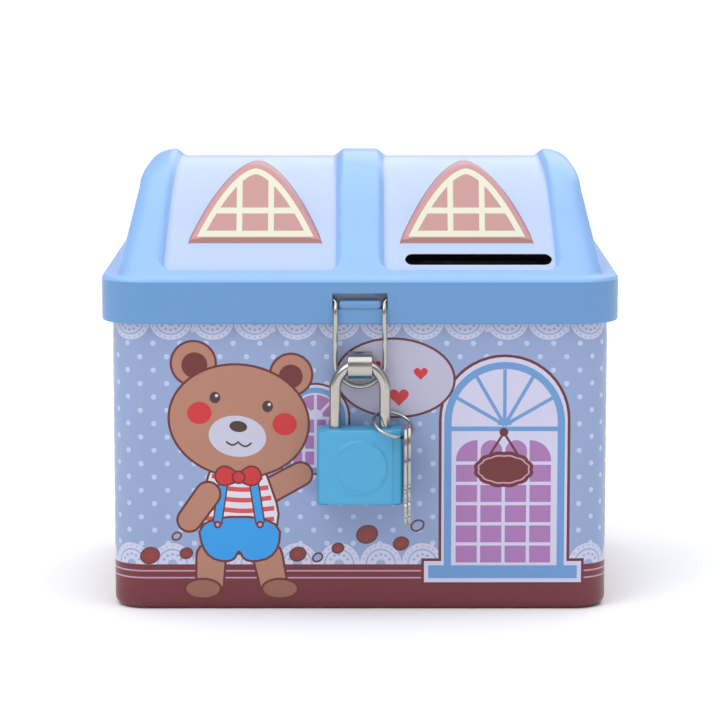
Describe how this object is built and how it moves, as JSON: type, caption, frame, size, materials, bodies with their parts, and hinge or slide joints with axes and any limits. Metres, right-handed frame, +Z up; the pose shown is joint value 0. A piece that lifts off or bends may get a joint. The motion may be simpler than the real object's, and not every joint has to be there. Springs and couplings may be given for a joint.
{
  "type": "tin money box",
  "caption": "House-shaped tin money box with a hinged roof lid, a coin slot, and a wire bail and staple held by a small padlock with keys.",
  "frame": {"origin": "middle of the flat base, on the surface that the box stands on", "axes": "+Z up, -Y towards the front with the padlock, +X to the right seen from the front"},
  "size_m": [0.1094, 0.095, 0.095],
  "materials": {
    "printed_tinplate": "offset-printed tinplate under clear varnish",
    "lid_tinplate": "sky-blue printed tinplate under clear varnish, stamped ribs and dormers",
    "plain_tinplate": "bright tinplate, lightly lacquered",
    "nickel_steel": "bright nickel-plated steel wire and strip",
    "cyan_abs": "moulded cyan-blue ABS, satin",
    "zinc_alloy": "die-cast zinc, plain",
    "brass": "turned brass"
  },
  "bodies": {
    "body": {"body_wall": "printed_tinplate", "base_panel": "plain_tinplate", "staple": "nickel_steel", "hinge_leaf_body": "plain_tinplate", "hinge_wire": "nickel_steel"},
    "lid": {"lid_shell": "lid_tinplate", "hinge_leaf_lid": "plain_tinplate"},
    "bail": {"bail_wire": "nickel_steel"},
    "shackle": {"shackle": "nickel_steel"},
    "lock_case": {"lock_jacket": "cyan_abs", "lock_core": "zinc_alloy", "lock_bottom_cap": "cyan_abs", "shackle_spring": "nickel_steel", "shackle_retaining_pin": "nickel_steel", "bolt_spring": "nickel_steel", "plug_clip": "nickel_steel"},
    "bolt": {"locking_bolt": "zinc_alloy"},
    "plug": {"plug": "brass", "wafers": "brass"},
    "ring": {"key_ring": "nickel_steel"},
    "key_a": {"key_a": "nickel_steel"},
    "key_b": {"key_b": "nickel_steel"}
  },
  "joints": [
    {"name": "lid_hinge", "type": "hinge", "parent": "body", "child": "lid", "pos_m": [0, 0.0426, 0.0608], "axis": [-1, 0, 0], "range_deg": [0, 105]},
    {"name": "bail_swing", "type": "hinge", "parent": "lid", "child": "bail", "pos_m": [0, -0.0402, 0.0666], "axis": [-1, 0, 0], "range_deg": [0, 90]},
    {"name": "padlock_swing", "type": "hinge", "parent": "body", "child": "shackle", "pos_m": [0, -0.04305, 0.05325], "axis": [-1, 0, 0], "range_deg": [0, 40]},
    {"name": "shackle_release", "type": "slide", "parent": "shackle", "child": "lock_case", "axis": [0, 0, -1], "range_m": [0, 0.006]},
    {"name": "plug_turn", "type": "hinge", "parent": "lock_case", "child": "plug", "pos_m": [0, -0.04305, 0.024], "axis": [0, 0, -1], "range_deg": [0, 90]},
    {"name": "bolt_slide", "type": "slide", "parent": "lock_case", "child": "bolt", "axis": [-1, 0, 0], "range_m": [0, 0.0017]},
    {"name": "ring_swing", "type": "hinge", "parent": "shackle", "child": "ring", "pos_m": [0.0052, -0.04305, 0.0408], "axis": [0, -1, 0], "range_deg": [0, 11]},
    {"name": "key_a_swing", "type": "hinge", "parent": "ring", "child": "key_a", "pos_m": [0.0095, -0.04704, 0.03869], "axis": [-1, 0, 0], "range_deg": [-10, 50]},
    {"name": "key_b_swing", "type": "hinge", "parent": "ring", "child": "key_b", "pos_m": [0.0103, -0.04621, 0.03886], "axis": [-1, 0, 0], "range_deg": [-10, 50]}
  ],
  "couplings": [
    {"joint": "plug_turn", "follows": "bolt_slide", "rad_per_m": 923.9}
  ]
}
